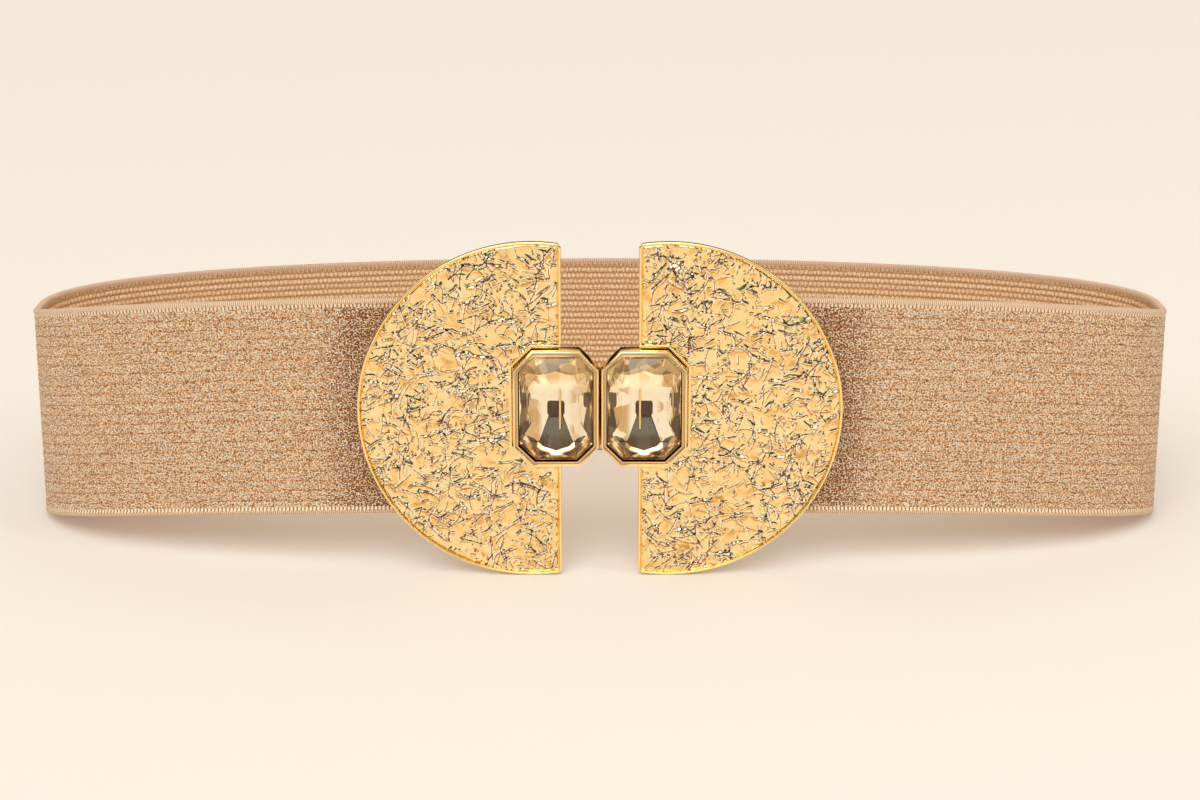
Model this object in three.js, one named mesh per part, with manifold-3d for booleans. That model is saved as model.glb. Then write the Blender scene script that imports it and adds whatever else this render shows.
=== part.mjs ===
// Elastic stretch belt with a two-plate clasp buckle, standing on its lower edge as an oval loop.
// Millimetres, +Z up, front towards -Y, origin on the floor below the middle of the loop.
import * as THREE from "three";
import { ConvexGeometry } from "three/addons/geometries/ConvexGeometry.js";
import { mergeVertices } from "three/addons/utils/BufferGeometryUtils.js";
import Module from "manifold-3d";

const wasm = await Module();
wasm.setup();

// Elastic band: a knitted wall with a thicker woven edge above and below
const BAND_WIDTH = 60;
const BAND_WALL = 2;
const SELVAGE_HEIGHT = 1.9;
const SELVAGE_WALL = 2.4;
const SELVAGE_ROUND = 0.6;

// Loop seen from above: its front and back halves are superellipses with a common widest line
const LOOP_HALF_WIDTH = 158.6;
const FRONT_DEPTH = 53.4;
const BACK_DEPTH = 49.4;
const FRONT_FULLNESS = 2.65;
const BACK_FULLNESS = 2.15;
const LIFT_EASE = 1.5; // power by which the lower edge rises from the widest line to the buckle
const BAND_CLEARANCE = 0.6; // behind the plates
const LOOP_POINTS = 400; // tried along a quarter of the loop, of which few are kept
const LOOP_STEP = 11; // longest facet along the band
const LOOP_TURN = 8; // largest turn between facets, degrees

// Sewn end of the band, folded round the strap bar
const TAIL_LENGTH = 16;
const TAIL_CLOSING = 9; // length in which the tail comes back to the band
const TAIL_GAP = 0.35;
const FOLD_TURN = 18; // between facets of the fold, degrees

// Buckle plates: disc segments with a raised rim round a crinkled field
const PLATE_RADIUS = 46.3;
const PLATE_OVERRUN = 7.8; // from the disc's centre to the straight edge
const PLATE_GAP = 20.4; // between the two straight edges
const PLATE_DEPTH = 3; // rim to back
const PLATE_CORNER = 1.2;
const RIM_WIDTH = 1.1;
const RIM_RAISE = 0.8; // above the floor of the field
const RELIEF_CELL = 3;
const RELIEF_HEIGHT = 0.65;
const RELIEF_SHIFT = 0.32; // sideways, share of a cell
const RELIEF_ACROSS_SEED = 1;
const RELIEF_HEIGHT_SEED = 4;
const RELIEF_UP_SEED = 7;
const SEAT_RIM_WIDTH = 0.7;
const SEAT_RIM_RAISE = 1.2; // above the floor of the field
const SEAT_WALL = 0.8; // left of the plate behind a setting
const ARC_SIDES = 48;

// Strap bars behind the plates, and the catch bar behind the right one
const STRAP_BAR_DIAMETER = 3;
const STRAP_BAR_OFFSET = 17; // outwards from the disc's centre
const STRAP_LUG = 3;
const CATCH_BAR_DIAMETER = 2.5;
const CATCH_REACH = 0.5; // outwards from the edge of the setting
const CATCH_LUG = 2.4;
const LUG_CLEARANCE = 0.8; // between a lug and what passes between the lugs

// Settings: octagonal stepped cups
const SETTING_WIDTH = 22.6;
const SETTING_HEIGHT = 31.8;
const SETTING_CORNER = 5.1;
const SETTING_GAP = 0.7;
const SETTING_RISE = 1.45; // above the plates' centre
const SETTING_FRONT = 2.8; // ahead of the plates' rims
const SETTING_RIM = 0.7;
const SETTING_STEP_WIDTH = 0.6;
const SETTING_STEP_DEPTH = 0.5;
const SETTING_FLOOR = 0.8;
const STUD_DIAMETER = 3;
const STUD_HEAD_DIAMETER = 5;
const STUD_HEAD = 1;
const STUD_SPACING = 12;

// Stones: octagonal cut with a table, a two-row crown and a pavilion
const GIRDLE_DROP = 0.3; // behind the step of the setting
const GIRDLE_WALL = 0.5;
const GIRDLE_SCALLOP = 0.3; // by which the crown reaches further back at the corners
const CROWN_HEIGHT = 2;

// Clasp: a strip bent into a hook
const CLASP_HEIGHT = 21;
const CLASP_WALL = 1.5;
const CLASP_LAP = 2; // past the outer edge of the left setting
const CLASP_JOGGLE = 12;
const HOOK_WRAP = 205; // degrees round the catch bar
const HOOK_LIP = 2;

const CLEARANCE = 0.35; // between pieces that bear on each other
const ROUND_SIDES = 12;
const CUT_MARGIN = 1; // by which a cut runs past the face that it opens

// Corners of the crown and pavilion in one quarter of the stone. "across" and "up" are shares of its
// half width and half height, and "rise" of the crown's height or the pavilion's depth off the girdle.
const CROWN_ROWS = [
  { across: 0, up: 0.775, rise: 1 },
  { across: 0.36, up: 0.69, rise: 1 },
  { across: 0.585, up: 0.53, rise: 1 },
  { across: 0.62, up: 0, rise: 1 },
  { across: 0.8, up: 0.49, rise: 0.53 },
  { across: 1, up: 0, rise: 0 },
];
const PAVILION_ROWS = [
  { across: 0.15, up: 0.05, rise: 1 },
  { across: 0.45, up: 0.62, rise: 0.5 },
  { across: 0.62, up: 0.3, rise: 0.56 },
];

// Places worked out from the sizes. Depths are measured back from the front of the plates' rims.
const bandLift = PLATE_RADIUS - BAND_WIDTH / 2;
const bandFront = PLATE_DEPTH + BAND_CLEARANCE;
const widestDepth = bandFront + FRONT_DEPTH;
const discCentre = PLATE_GAP / 2 + PLATE_OVERRUN;
const strapBarAcross = discCentre + STRAP_BAR_OFFSET;
const wrapRadius = STRAP_BAR_DIAMETER / 2 + CLEARANCE + SELVAGE_WALL / 2;
const settingCentre = (SETTING_GAP + SETTING_WIDTH) / 2;
const settingOuter = SETTING_GAP / 2 + SETTING_WIDTH;
const settingLevel = PLATE_RADIUS + SETTING_RISE;
const seatFloor = PLATE_DEPTH - SEAT_WALL;
const settingBack = seatFloor - CLEARANCE;
const stoneInset = SETTING_RIM + SETTING_STEP_WIDTH + CLEARANCE;
const girdleFront = SETTING_STEP_DEPTH + GIRDLE_DROP - SETTING_FRONT;
const tableFront = girdleFront - CROWN_HEIGHT;
const studAcross = (PLATE_GAP / 2 + settingOuter) / 2;
const studLevels = [settingLevel - STUD_SPACING / 2, settingLevel + STUD_SPACING / 2];
const studBore = STUD_DIAMETER + 2 * CLEARANCE;
const claspFront = PLATE_DEPTH + CLEARANCE;
const hookFront = PLATE_DEPTH + 2 * CLEARANCE + STUD_HEAD;
const catchAcross = settingOuter + CATCH_REACH;
const catchDepth = hookFront + CLASP_WALL + CLEARANCE + CATCH_BAR_DIAMETER / 2;

const gold = new THREE.MeshStandardMaterial({ color: 0xe3b56a, roughness: 0.22, metalness: 1 });
const polishedGold = new THREE.MeshStandardMaterial({ color: 0xe8c07a, roughness: 0.1, metalness: 1 });
const darkGold = new THREE.MeshStandardMaterial({ color: 0xb5742c, roughness: 0.35, metalness: 1 });
const lurex = new THREE.MeshStandardMaterial({ color: 0xc99f74, roughness: 0.6, metalness: 0.3 });
const crystal = new THREE.MeshStandardMaterial({ color: 0xe8cf9f, roughness: 0.03, metalness: 0 });

// Solids and meshes

function solid(geometry) {
  const bare = new THREE.BufferGeometry();
  bare.setAttribute("position", geometry.getAttribute("position"));
  bare.setIndex(geometry.index);
  const merged = mergeVertices(bare, 1e-4);
  return new wasm.Manifold(
    new wasm.Mesh({
      numProp: 3,
      vertProperties: merged.attributes.position.array,
      triVerts: new Uint32Array(merged.index.array),
    }),
  );
}

function meshOf(name, manifold, material) {
  const shape = manifold.getMesh();
  const geometry = new THREE.BufferGeometry();
  geometry.setAttribute("position", new THREE.BufferAttribute(shape.vertProperties, 3));
  geometry.setIndex(new THREE.BufferAttribute(shape.triVerts, 1));
  geometry.computeVertexNormals();
  const mesh = new THREE.Mesh(geometry, material);
  mesh.name = name;
  return mesh;
}

// A shape drawn across and up, given its thickness between two depths
function slab(shape, front, back) {
  const geometry = new THREE.ExtrudeGeometry(shape, {
    depth: back - front,
    bevelEnabled: false,
    curveSegments: ARC_SIDES,
  });
  geometry.rotateX(Math.PI / 2);
  geometry.translate(0, back, 0);
  return solid(geometry);
}

// A round bar along the depth
function stud(diameter, across, up, front, back) {
  const geometry = new THREE.CylinderGeometry(diameter / 2, diameter / 2, back - front, ROUND_SIDES);
  geometry.translate(across, (front + back) / 2, up);
  return solid(geometry);
}

// A round upright bar
function uprightBar(diameter, across, depth, low, high) {
  const geometry = new THREE.CylinderGeometry(diameter / 2, diameter / 2, high - low, ROUND_SIDES);
  geometry.rotateX(Math.PI / 2);
  geometry.translate(across, depth, (low + high) / 2);
  return solid(geometry);
}

function block(across, front, low, width, depth, height) {
  const geometry = new THREE.BoxGeometry(width, depth, height);
  geometry.translate(across, front + depth / 2, low + height / 2);
  return solid(geometry);
}

// A number from 0 up to 1 that is always the same for the same three numbers
function scatter(i, j, seed) {
  const s = Math.sin(i * 127.1 + j * 311.7 + seed * 74.7) * 43758.5453;
  return s - Math.floor(s);
}

// Elastic band

// One quarter of the loop's middle line, "turn" running from 0 at the widest line to a right angle
function loopPoint(turn, fullness, depth) {
  const half = BAND_WALL / 2;
  return new THREE.Vector2(
    (LOOP_HALF_WIDTH - half) * Math.cos(turn) ** (2 / fullness),
    (depth - half) * Math.sin(turn) ** (2 / fullness),
  );
}

// The back quarter of the right half, from the middle of the back to the widest line
function backQuarter() {
  const points = [];
  for (let i = LOOP_POINTS; i > 0; i--) {
    const point = loopPoint((Math.PI / 2) * (i / LOOP_POINTS), BACK_FULLNESS, BACK_DEPTH);
    points.push({ x: i === LOOP_POINTS ? 0 : point.x, y: widestDepth + point.y, lift: 0 });
  }
  return points;
}

// The front quarter of the right half, from the widest line to the strap bar
function frontQuarter() {
  const half = LOOP_HALF_WIDTH - BAND_WALL / 2;
  const last = Math.acos((strapBarAcross / half) ** (FRONT_FULLNESS / 2));
  const barRise = loopPoint(last, FRONT_FULLNESS, FRONT_DEPTH).y;
  const points = [];
  for (let i = 0; i <= LOOP_POINTS; i++) {
    const point = loopPoint(last * (i / LOOP_POINTS), FRONT_FULLNESS, FRONT_DEPTH);
    const lift = bandLift * (point.y / barRise) ** LIFT_EASE;
    points.push({ x: point.x, y: widestDepth - point.y, lift });
  }
  return points;
}

// The unit vector square to the line at a point, towards the inside of the loop on the right half
function inward(points, i) {
  const before = points[Math.max(i - 1, 0)];
  const after = points[Math.min(i + 1, points.length - 1)];
  return new THREE.Vector2(-(before.y - after.y), before.x - after.x).normalize();
}

// The fold round the strap bar and the tail that comes back along the band
function foldedEnd(front) {
  const end = front[front.length - 1];
  const side = inward(front, front.length - 1);
  const ahead = new THREE.Vector2(-side.y, side.x);
  const points = [];
  for (let degrees = FOLD_TURN; degrees < 180; degrees += FOLD_TURN) {
    const turn = THREE.MathUtils.degToRad(degrees);
    const back = wrapRadius * (1 - Math.cos(turn));
    const on = wrapRadius * Math.sin(turn);
    points.push({
      x: end.x + side.x * back + ahead.x * on,
      y: end.y + side.y * back + ahead.y * on,
      lift: end.lift,
    });
  }
  const sewn = SELVAGE_WALL + TAIL_GAP;
  let length = 0;
  for (let i = front.length - 1; length < TAIL_LENGTH; i--) {
    const share = THREE.MathUtils.smoothstep(length, 0, TAIL_CLOSING);
    const offset = THREE.MathUtils.lerp(2 * wrapRadius, sewn, share);
    const normal = inward(front, i);
    points.push({
      x: front[i].x + normal.x * offset,
      y: front[i].y + normal.y * offset,
      lift: front[i].lift,
    });
    length += Math.hypot(front[i].x - front[i - 1].x, front[i].y - front[i - 1].y);
  }
  return points;
}

// Keeps the points that a facet's longest length and largest turn call for
function thinned(points) {
  const kept = [points[0]];
  let length = 0;
  let turn = 0;
  for (let i = 1; i < points.length - 1; i++) {
    const stepIn = [points[i].x - points[i - 1].x, points[i].y - points[i - 1].y];
    const stepOut = [points[i + 1].x - points[i].x, points[i + 1].y - points[i].y];
    length += Math.hypot(...stepIn);
    turn += Math.abs(Math.atan2(
      stepIn[0] * stepOut[1] - stepIn[1] * stepOut[0],
      stepIn[0] * stepOut[0] + stepIn[1] * stepOut[1],
    ));
    if (length > LOOP_STEP || turn > THREE.MathUtils.degToRad(LOOP_TURN)) {
      kept.push(points[i]);
      length = 0;
      turn = 0;
    }
  }
  kept.push(points[points.length - 1]);
  return kept;
}

// Section of the band: "out" from its middle, "up" from its lower edge
function bandSection() {
  const edge = SELVAGE_WALL / 2;
  const lower = [
    { out: edge - SELVAGE_ROUND, up: 0 },
    { out: edge, up: SELVAGE_ROUND },
    { out: edge, up: SELVAGE_HEIGHT - SELVAGE_ROUND },
    { out: BAND_WALL / 2, up: SELVAGE_HEIGHT },
  ];
  const upper = lower.map(({ out, up }) => ({ out, up: BAND_WIDTH - up })).reverse();
  const face = [...lower, ...upper];
  const other = face.map(({ out, up }) => ({ out: -out, up })).reverse();
  return [...face, ...other];
}

function elasticBand() {
  const front = frontQuarter();
  const rightHalf = thinned([...backQuarter(), ...front, ...foldedEnd(front)]);
  const leftHalf = rightHalf.slice(1).reverse().map(({ x, y, lift }) => ({ x: -x, y, lift }));
  const stations = [...leftHalf, ...rightHalf];
  const section = bandSection();
  const positions = [];
  stations.forEach(({ x, y, lift }, i) => {
    const side = inward(stations, i);
    for (const { out, up } of section) positions.push(x - side.x * out, y - side.y * out, lift + up);
  });
  return solid(loft(positions, stations.length, section));
}

// Closed skin over copies of a section that follow one another, with a flat cap on each end
function loft(positions, rings, section) {
  const sides = section.length;
  const index = [];
  for (let ring = 0; ring < rings - 1; ring++) {
    for (let side = 0; side < sides; side++) {
      const a = ring * sides + side;
      const b = ring * sides + ((side + 1) % sides);
      index.push(a, b, a + sides, b, b + sides, a + sides);
    }
  }
  const outline = section.map(({ out, up }) => new THREE.Vector2(out, up));
  const last = (rings - 1) * sides;
  for (const [a, b, c] of THREE.ShapeUtils.triangulateShape(outline, [])) {
    index.push(c, b, a, last + a, last + b, last + c);
  }
  const geometry = new THREE.BufferGeometry();
  geometry.setAttribute("position", new THREE.Float32BufferAttribute(positions, 3));
  geometry.setIndex(index);
  return geometry;
}

// Outlines. "side" is -1 for the left half of the buckle and 1 for the right.

function mirroredShape(shape, side) {
  const { shape: outline } = shape.extractPoints(ARC_SIDES);
  return new THREE.Shape(outline.map((point) => new THREE.Vector2(side * point.x, point.y)));
}

// The plate's outline, moved in by "inset"
function plateShape(side, inset) {
  const radius = PLATE_RADIUS - inset;
  const flat = PLATE_GAP / 2 + inset;
  const halfChord = Math.sqrt(radius ** 2 - (discCentre - flat) ** 2);
  const cornerTurn = Math.PI - Math.atan2(halfChord, discCentre - flat) - PLATE_CORNER / radius;
  const shape = new THREE.Shape();
  shape.moveTo(flat, PLATE_RADIUS - halfChord + PLATE_CORNER);
  shape.lineTo(flat, PLATE_RADIUS + halfChord - PLATE_CORNER);
  shape.quadraticCurveTo(
    flat,
    PLATE_RADIUS + halfChord,
    discCentre + radius * Math.cos(cornerTurn),
    PLATE_RADIUS + radius * Math.sin(cornerTurn),
  );
  shape.absarc(discCentre, PLATE_RADIUS, radius, cornerTurn, -cornerTurn, true);
  shape.quadraticCurveTo(
    flat,
    PLATE_RADIUS - halfChord,
    flat,
    PLATE_RADIUS - halfChord + PLATE_CORNER,
  );
  return mirroredShape(shape, side);
}

// The setting's octagon, moved in by "inset"
function octagonCorners(side, inset) {
  const across = SETTING_WIDTH / 2 - inset;
  const up = SETTING_HEIGHT / 2 - inset;
  const corner = SETTING_CORNER - inset * (2 - Math.SQRT2);
  const centre = side * settingCentre;
  const corners = [];
  for (const [right, top] of [[1, 1], [-1, 1], [-1, -1], [1, -1]]) {
    const beside = new THREE.Vector2(centre + right * across, settingLevel + top * (up - corner));
    const above = new THREE.Vector2(centre + right * (across - corner), settingLevel + top * up);
    corners.push(...(right * top > 0 ? [beside, above] : [above, beside]));
  }
  return corners;
}

function octagon(side, inset) {
  return new THREE.Shape(octagonCorners(side, inset));
}

// Buckle plates

// A block whose front is crumpled: each point of a grid is moved sideways and forwards by chance
function crumpledBlock(side) {
  const cells = 2 * Math.ceil(PLATE_RADIUS / RELIEF_CELL) + 2;
  const width = cells * RELIEF_CELL;
  const shift = RELIEF_CELL * RELIEF_SHIFT;
  const back = (RIM_RAISE + PLATE_DEPTH) / 2;
  const thickness = back - RIM_RAISE;
  const box = new THREE.BoxGeometry(width, thickness, width, cells, 1, cells);
  box.deleteAttribute("normal");
  box.deleteAttribute("uv");
  const geometry = mergeVertices(box, 1e-4);
  const place = geometry.getAttribute("position");
  for (let k = 0; k < place.count; k++) {
    const i = Math.round(place.getX(k) / RELIEF_CELL);
    const j = Math.round(place.getZ(k) / RELIEF_CELL);
    if (place.getY(k) > 0 || Math.max(Math.abs(i), Math.abs(j)) > cells / 2 - 1) {
      continue;
    }
    place.setX(k, place.getX(k) + shift * (2 * scatter(i, j, RELIEF_ACROSS_SEED + side) - 1));
    place.setY(k, place.getY(k) - RELIEF_HEIGHT * scatter(i, j, RELIEF_HEIGHT_SEED + side));
    place.setZ(k, place.getZ(k) + shift * (2 * scatter(i, j, RELIEF_UP_SEED + side) - 1));
  }
  geometry.translate(side * discCentre, (RIM_RAISE + back) / 2, PLATE_RADIUS);
  return solid(geometry);
}

// Two lugs on the plate's back with a bar between them
function barOnLugs(across, depth, diameter, lug, halfHeight) {
  const inner = halfHeight + LUG_CLEARANCE;
  const root = (RIM_RAISE + PLATE_DEPTH) / 2;
  const reach = inner + lug / 2;
  const width = diameter + lug / 2;
  let made = uprightBar(diameter, across, depth, PLATE_RADIUS - reach, PLATE_RADIUS + reach);
  for (const low of [PLATE_RADIUS + inner, PLATE_RADIUS - inner - lug]) {
    made = made.add(block(across, root, low, width, depth - root, lug));
    made = made.add(uprightBar(width, across, depth, low, low + lug));
  }
  return made;
}

// Where the strap bar stands, so that the band's fold is centred on it
function strapBarPlace() {
  const front = frontQuarter();
  const end = front[front.length - 1];
  const side = inward(front, front.length - 1);
  return { across: end.x + side.x * wrapRadius, depth: end.y + side.y * wrapRadius };
}

function plate(side) {
  const base = slab(plateShape(side, 0), 0, PLATE_DEPTH)
    .subtract(slab(plateShape(side, RIM_WIDTH), -CUT_MARGIN, RIM_RAISE));
  const seatFront = RIM_RAISE - SEAT_RIM_RAISE;
  const seatRim = slab(octagon(side, -CLEARANCE - SEAT_RIM_WIDTH), seatFront, PLATE_DEPTH)
    .intersect(slab(plateShape(side, 0), seatFront - CUT_MARGIN, PLATE_DEPTH));
  const seat = slab(octagon(side, -CLEARANCE), seatFront - CUT_MARGIN, seatFloor);
  const field = slab(plateShape(side, RIM_WIDTH / 2), -CUT_MARGIN, PLATE_DEPTH);
  const bar = strapBarPlace();
  let made = base.add(crumpledBlock(side).intersect(field)).add(seatRim).subtract(seat)
    .add(barOnLugs(side * bar.across, bar.depth, STRAP_BAR_DIAMETER, STRAP_LUG, BAND_WIDTH / 2));
  if (side > 0) {
    made = made.add(barOnLugs(catchAcross, catchDepth, CATCH_BAR_DIAMETER, CATCH_LUG, CLASP_HEIGHT / 2));
  }
  for (const up of studLevels) {
    made = made.subtract(stud(studBore, side * studAcross, up, -CUT_MARGIN, PLATE_DEPTH + CUT_MARGIN));
  }
  return made;
}

// Settings and stones

function setting(side) {
  const mouth = -SETTING_FRONT - CUT_MARGIN;
  const step = SETTING_STEP_DEPTH - SETTING_FRONT;
  const floor = settingBack - SETTING_FLOOR;
  const headFront = side < 0 ? claspFront + CLASP_WALL + CLEARANCE : PLATE_DEPTH + CLEARANCE;
  let made = slab(octagon(side, 0), -SETTING_FRONT, settingBack)
    .subtract(slab(octagon(side, SETTING_RIM), mouth, step))
    .subtract(slab(octagon(side, SETTING_RIM + SETTING_STEP_WIDTH), mouth, floor));
  for (const up of studLevels) {
    const root = settingBack - SETTING_FLOOR / 2;
    const end = headFront + STUD_HEAD;
    made = made.add(stud(STUD_DIAMETER, side * studAcross, up, root, end))
      .add(stud(STUD_HEAD_DIAMETER, side * studAcross, up, headFront, end));
  }
  return made;
}

// The cut stone is the hull of its corners: girdle, crown rows and pavilion rows
function stone(side) {
  const halfWidth = SETTING_WIDTH / 2 - stoneInset;
  const halfHeight = SETTING_HEIGHT / 2 - stoneInset;
  const girdleBack = girdleFront + GIRDLE_WALL;
  const culet = settingBack - SETTING_FLOOR - CLEARANCE;
  const points = [];
  for (const corner of octagonCorners(side, stoneInset)) {
    points.push(new THREE.Vector3(corner.x, girdleFront + GIRDLE_SCALLOP, corner.y));
    points.push(new THREE.Vector3(corner.x, girdleBack, corner.y));
  }
  const addRows = (rows, from, towards) => {
    for (const { across, up, rise } of rows) {
      for (const [right, top] of [[1, 1], [-1, 1], [-1, -1], [1, -1]]) {
        points.push(new THREE.Vector3(
          side * settingCentre + right * across * halfWidth,
          from + rise * (towards - from),
          settingLevel + top * up * halfHeight,
        ));
      }
    }
  };
  addRows(CROWN_ROWS, girdleFront, tableFront);
  addRows(PAVILION_ROWS, girdleBack, culet);
  return solid(new ConvexGeometry(points));
}

// Clasp hook

// A strip of even thickness along a line drawn from above
function ribbon(points, thickness) {
  const edge = (sign) => points.map((point, i) => {
    const before = points[Math.max(i - 1, 0)];
    const after = points[Math.min(i + 1, points.length - 1)];
    const along = new THREE.Vector2().subVectors(after, before).normalize();
    return new THREE.Vector2(
      point.x - along.y * sign * thickness / 2,
      point.y + along.x * sign * thickness / 2,
    );
  });
  return new THREE.Shape([...edge(-1), ...edge(1).reverse()]);
}

function claspHook() {
  const flat = claspFront + CLASP_WALL / 2;
  const stepped = hookFront + CLASP_WALL / 2;
  const radius = catchDepth - stepped;
  const line = new THREE.Path();
  line.moveTo(-settingOuter - CLASP_LAP, flat);
  line.lineTo(-CLASP_JOGGLE / 2, flat);
  line.bezierCurveTo(0, flat, 0, stepped, CLASP_JOGGLE / 2, stepped);
  line.lineTo(catchAcross, stepped);
  const turn = THREE.MathUtils.degToRad(HOOK_WRAP - 90);
  line.absarc(catchAcross, catchDepth, radius, -Math.PI / 2, turn, false);
  const end = line.currentPoint.clone();
  line.lineTo(end.x - Math.sin(turn) * HOOK_LIP, end.y + Math.cos(turn) * HOOK_LIP);
  const geometry = new THREE.ExtrudeGeometry(ribbon(line.getPoints(ROUND_SIDES), CLASP_WALL), {
    depth: CLASP_HEIGHT,
    bevelEnabled: false,
  });
  geometry.translate(0, 0, PLATE_RADIUS - CLASP_HEIGHT / 2);
  let made = solid(geometry);
  for (const up of studLevels) {
    made = made.subtract(stud(studBore, -studAcross, up, 0, flat + CLASP_WALL));
  }
  return made;
}

// The belt, moved so that the origin lies below the middle of its box
const belt = new THREE.Group();
belt.add(meshOf("elastic_band", elasticBand(), lurex));
belt.add(meshOf("left_plate", plate(-1), gold));
belt.add(meshOf("right_plate", plate(1), gold));
belt.add(meshOf("left_setting", setting(-1), polishedGold));
belt.add(meshOf("right_setting", setting(1), polishedGold));
belt.add(meshOf("left_stone", stone(-1), crystal));
belt.add(meshOf("right_stone", stone(1), crystal));
belt.add(meshOf("clasp_hook", claspHook(), darkGold));
const box = new THREE.Box3().setFromObject(belt);
belt.position.y = -(box.min.y + box.max.y) / 2;

export default belt;
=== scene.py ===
# Elastic stretch belt with a two-plate clasp buckle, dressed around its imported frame.
# The frame has the front of the buckle towards -Y, +X to the right and +Z up, in metres.
import math
import random

import bpy
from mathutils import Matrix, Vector, noise


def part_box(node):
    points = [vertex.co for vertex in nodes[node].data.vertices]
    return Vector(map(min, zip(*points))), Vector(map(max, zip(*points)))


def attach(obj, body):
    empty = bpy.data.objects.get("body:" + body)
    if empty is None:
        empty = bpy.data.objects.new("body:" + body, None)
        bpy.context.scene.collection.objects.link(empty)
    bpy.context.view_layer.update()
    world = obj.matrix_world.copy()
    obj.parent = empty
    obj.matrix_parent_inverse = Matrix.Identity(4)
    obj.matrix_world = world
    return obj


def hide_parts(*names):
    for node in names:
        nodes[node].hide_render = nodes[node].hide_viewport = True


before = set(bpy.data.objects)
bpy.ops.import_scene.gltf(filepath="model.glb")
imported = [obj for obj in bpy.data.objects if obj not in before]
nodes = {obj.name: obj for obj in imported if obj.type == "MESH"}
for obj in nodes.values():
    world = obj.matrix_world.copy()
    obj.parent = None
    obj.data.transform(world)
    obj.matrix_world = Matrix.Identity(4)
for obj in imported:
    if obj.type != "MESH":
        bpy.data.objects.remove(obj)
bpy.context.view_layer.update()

# Camera
# The photograph was taken about 75 cm from the buckle with a long lens, square to the belt and
# looking down on it by about 18 degrees.
MM = 0.001
CAMERA_AHEAD = 710 * MM  # of the plates' rims
CAMERA_HEIGHT = 277.8 * MM
CAMERA_PITCH = math.radians(17.82)
LENS = 84.66  # millimetres
SEAT_RIM_PROUD = 0.4 * MM  # by which the border round a setting stands ahead of the plate's rim
rim_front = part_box("left_plate")[0].y + SEAT_RIM_PROUD
bpy.ops.object.camera_add(
    location=(0, rim_front - CAMERA_AHEAD, CAMERA_HEIGHT),
    rotation=(math.pi / 2 - CAMERA_PITCH, 0, 0),
)
camera = bpy.context.object
camera.data.lens = LENS
camera.data.clip_start = 0.01
camera.data.clip_end = 50
bpy.context.scene.camera = camera


class Shade:
    """One socket of a material's nodes. Arithmetic on it adds Math nodes."""

    def __init__(self, tree, socket=None):
        self.tree = tree
        self.socket = socket

    def node(self, kind, settings=None, inputs=None, output=0):
        """Adds a node, makes its settings, then fills or links its inputs."""
        made = self.tree.nodes.new("ShaderNode" + kind)
        for name, value in (settings or {}).items():
            if name == "stops":
                fill_ramp(made.color_ramp, value)
            else:
                setattr(made, name, value)
        for key, value in (inputs or {}).items():
            if isinstance(value, Shade):
                self.tree.links.new(value.socket, made.inputs[key])
            else:
                made.inputs[key].default_value = value
        return Shade(self.tree, made.outputs[output])

    def math(self, operation, *values):
        """A Math node of the values, or of this one alone where none is given."""
        return self.node("Math", {"operation": operation}, dict(enumerate(values or (self,))))

    def __add__(self, other):
        return self.math("ADD", self, other)

    __radd__ = __add__

    def __sub__(self, other):
        return self.math("SUBTRACT", self, other)

    def __rsub__(self, other):
        return self.math("SUBTRACT", other, self)

    def __mul__(self, other):
        return self.math("MULTIPLY", self, other)

    __rmul__ = __mul__

    def __truediv__(self, other):
        return self.math("DIVIDE", self, other)

    def mix(self, factor, a, b):
        """A colour between a and b."""
        return self.node("Mix", {"data_type": "RGBA"}, {0: factor, 6: a, 7: b}, 2)

    def part(self, axis):
        """One of the three numbers of a place or a colour."""
        return self.node("SeparateXYZ", None, {0: self}, "XYZ".index(axis))


def fill_ramp(ramp, stops):
    """Gives a colour ramp its stops, each a place from 0 to 1 and a colour or a grey."""
    while len(ramp.elements) < len(stops):
        ramp.elements.new(0.5)
    for element, (place, value) in zip(ramp.elements, stops):
        element.position = place
        element.color = value if hasattr(value, "__len__") else (value, value, value, 1)


def new_material(name):
    """An empty material and the Shade that adds nodes to it."""
    made = bpy.data.materials.new(name)
    made.use_nodes = True
    made.node_tree.nodes.clear()
    return made, Shade(made.node_tree)


def set_surface(shade, surface):
    """Sends a shader to the material's output."""
    output = shade.tree.nodes.new("ShaderNodeOutputMaterial")
    shade.tree.links.new(surface.socket, output.inputs["Surface"])


# Floor and light
# A plain pale floor that runs out of sight, broad even light from above, three narrow strips for
# the glints, and a studio bright above and dim at eye level, which the polished gold mirrors.
FLOOR_SIZE = 12
FLOOR_COLOUR = (0.84, 0.815, 0.79, 1)
bpy.ops.mesh.primitive_plane_add(size=FLOOR_SIZE, location=(0, 0, 0))
floor = bpy.context.object
floor.name = "floor"
floor_material, shade = new_material("pale floor")
set_surface(shade, shade.node("BsdfPrincipled", None, {"Base Color": FLOOR_COLOUR, "Roughness": 0.9}))
floor.data.materials.append(floor_material)


def facing(place, aim):
    """The turn that points a light at a place."""
    return (Vector(aim) - Vector(place)).to_track_quat("-Z", "Y").to_euler()


def strip_light(name, place, width, height, watts):
    """A narrow softbox that faces the buckle."""
    bpy.ops.object.light_add(type="AREA", location=place, rotation=facing(place, (0, rim_front, 0.05)))
    light = bpy.context.object
    light.name = name
    light.data.shape = "RECTANGLE"
    light.data.size = width
    light.data.size_y = height
    light.data.energy = watts
    light.data.color = (1, 0.97, 0.93)


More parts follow.
